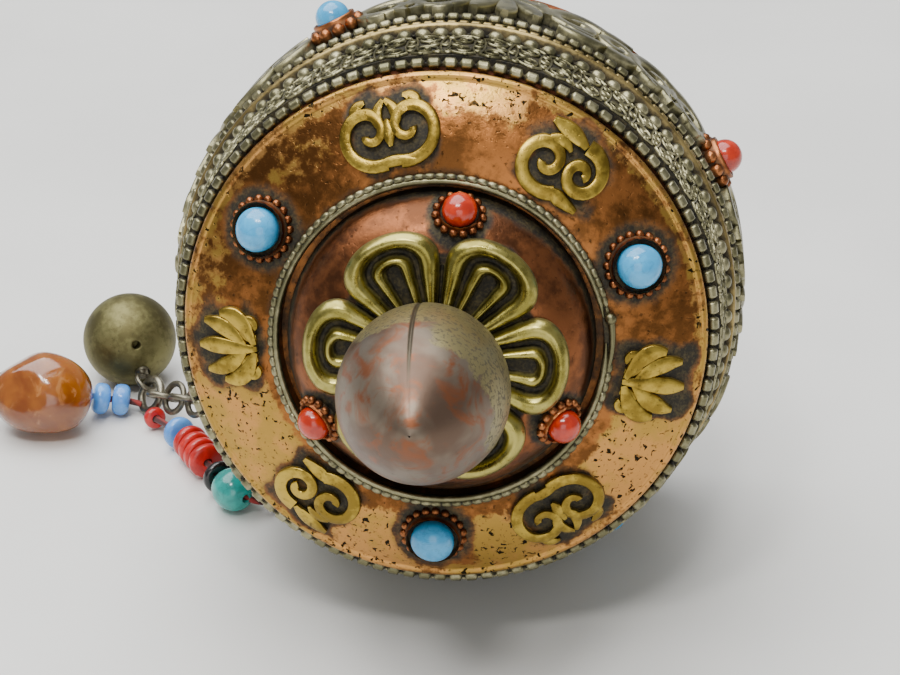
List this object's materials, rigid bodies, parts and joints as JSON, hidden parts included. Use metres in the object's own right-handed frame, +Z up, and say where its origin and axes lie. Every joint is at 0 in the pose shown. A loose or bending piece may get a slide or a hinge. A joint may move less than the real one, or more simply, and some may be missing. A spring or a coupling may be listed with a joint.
{
  "type": "prayer wheel",
  "caption": "Hand-held prayer wheel: a decorated metal drum that spins on a spindle in a turned handle, with a chained weight and bead strands, lying on its side.",
  "frame": {"origin": "on the surface it lies on, under the centre of the box of the wheel and its weight, without the bead strands", "axes": "+Z up from that surface; the finial points towards -Y and rises at 11.5 degrees, the handle towards +Y; +X to the right seen from the finial"},
  "size_m": [0.1285, 0.225, 0.0799],
  "materials": {
    "copper": "worn, with dark patina in the recesses",
    "brass": "worn, with dark patina in the recesses",
    "white_metal": "tarnished white metal",
    "smoked_copper": "heat-coloured, satin",
    "ball_brass": "aged, satin",
    "steel": "aged",
    "turned_wood": "oiled, worn",
    "shell": "polished shell",
    "paper": "rolled paper",
    "silk": "plain silk",
    "turquoise": "polished stone",
    "coral": "polished coral",
    "cord": "waxed thread",
    "blue_glass": "pressed glass",
    "carnelian": "polished translucent stone",
    "dark_seed": "polished",
    "red_bead": "satin",
    "teal_stone": "polished stone"
  },
  "bodies": {
    "handle": {"handle_grip": "turned_wood", "handle_ferrule": "brass", "foot_cap": "brass", "bearing_ring": "shell", "thrust_washer": "brass", "spindle": "steel"},
    "drum": {"drum_shell": "copper", "base_plate": "copper", "lower_bush": "brass", "core_tube": "turned_wood", "prayer_scroll": "paper", "scroll_wrap": "silk", "rim_beads_front": "white_metal", "rim_beads_back": "white_metal", "filigree_band_front": "white_metal", "filigree_band_back": "white_metal", "inner_beads_front": "white_metal", "inner_beads_back": "white_metal", "brass_hoop_front": "brass", "brass_hoop_back": "brass", "belt_strip": "white_metal", "belt_beads": "white_metal", "relief_panels": "white_metal", "side_bezels": "copper", "side_turquoises": "turquoise", "side_corals": "coral", "drum_eye": "brass"},
    "cap": {"cap_plate": "copper", "cap_ornaments": "brass", "cap_bezels": "copper", "cap_turquoises": "turquoise", "twisted_ring": "white_metal", "cap_dome": "copper", "dome_bezels": "copper", "dome_corals": "coral", "lotus_rosette": "brass", "upper_bush": "brass"},
    "finial": {"finial_bulb": "smoked_copper", "finial_socket": "brass"},
    "weight": {"weight_chain": "steel", "weight_ring": "steel", "left_cord": "cord", "left_blue_beads": "blue_glass", "carnelian_nugget": "carnelian", "dark_bead": "dark_seed", "left_knot": "cord", "right_cord": "cord", "red_spacer": "red_bead", "right_blue_bead": "blue_glass", "red_discs": "red_bead", "black_disc": "dark_seed", "teal_bead": "teal_stone", "right_knot": "cord"},
    "ball": {"weight_ball": "ball_brass", "ball_bail": "steel"}
  },
  "joints": [
    {"name": "drum_spin", "type": "hinge", "parent": "handle", "child": "drum", "pos_m": [0.01222, -0.06986, 0.04515], "axis": [0, -0.9799, 0.1994], "continuous": true},
    {"name": "finial_lift", "type": "slide", "parent": "handle", "child": "finial", "axis": [0, -0.9799, 0.1994], "range_m": [0, 0.03]},
    {"name": "cap_lift", "type": "slide", "parent": "drum", "child": "cap", "axis": [0, -0.9799, 0.1994], "range_m": [0, 0.015]},
    {"name": "weight_swing", "type": "hinge", "parent": "drum", "child": "weight", "pos_m": [-0.02071, -0.03286, 0.01136], "axis": [0, 0, 1], "range_deg": [-20, 50]},
    {"name": "ball_swing", "type": "hinge", "parent": "weight", "child": "ball", "pos_m": [-0.03984, -0.01545, 0.00411], "axis": [0, 0, 1], "range_deg": [-20, 8]}
  ],
  "couplings": [
    {"joint": "cap_lift", "follows": "finial_lift", "ratio": 0.5}
  ]
}
